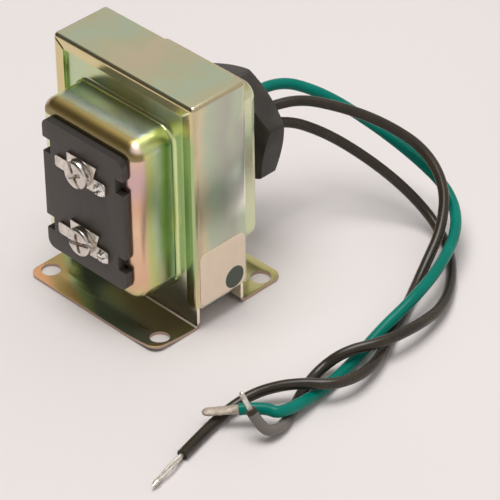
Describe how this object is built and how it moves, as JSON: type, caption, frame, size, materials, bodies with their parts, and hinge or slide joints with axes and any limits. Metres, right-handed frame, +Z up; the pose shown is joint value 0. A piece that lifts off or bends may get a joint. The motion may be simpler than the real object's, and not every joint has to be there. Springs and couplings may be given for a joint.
{
  "type": "doorbell transformer",
  "caption": "Sheet-metal doorbell transformer on two feet, with screw terminals on its front, a threaded conduit hub with nut at the rear and loose insulated leads.",
  "frame": {"origin": "middle of the four foot holes, on the surface that the feet stand on", "axes": "+X to the right as seen from the terminals, +Y to the rear where the hub is, +Z up"},
  "size_m": [0.0957, 0.129, 0.0673],
  "materials": {
    "plated_steel": "yellow-iridescent zinc plating on formed sheet",
    "dark_board": "moulded phenolic",
    "nickel_plate": "dull nickel plating",
    "black_steel": "satin black oxide",
    "hub_metal": "as cast zinc",
    "copper_wire": "enamelled copper",
    "core_steel": "varnished lamination edges",
    "bobbin_nylon": "moulded nylon",
    "coil_paper": "kraft insulating paper",
    "fuse_metal": "drawn can",
    "label_paper": "blank sticker",
    "green_insulation": "extruded insulation",
    "black_insulation": "extruded insulation",
    "tinned_strands": "tinned copper strands"
  },
  "bodies": {
    "root": {"front_cover": "plated_steel", "rear_cover": "plated_steel", "case_band": "plated_steel", "terminal_board": "dark_board", "upper_terminal_plate": "nickel_plate", "lower_terminal_plate": "nickel_plate", "upper_terminal_screw": "nickel_plate", "lower_terminal_screw": "nickel_plate", "upper_terminal_eyelet": "nickel_plate", "lower_terminal_eyelet": "nickel_plate", "upper_tap_wire": "copper_wire", "lower_tap_wire": "copper_wire", "conduit_hub": "hub_metal", "conduit_nut": "black_steel", "e_core_stack": "core_steel", "i_core_stack": "core_steel", "bobbin": "bobbin_nylon", "primary_winding": "copper_wire", "secondary_winding": "copper_wire", "layer_wrap": "coil_paper", "outer_wrap": "coil_paper", "heat_fuse": "fuse_metal", "blank_label": "label_paper", "ground_lug": "nickel_plate", "ground_rivet": "nickel_plate", "ground_lead": "green_insulation", "line_lead": "black_insulation", "neutral_lead": "black_insulation", "ground_lead_end": "tinned_strands", "line_lead_end": "tinned_strands", "neutral_lead_end": "tinned_strands"}
  },
  "joints": []
}
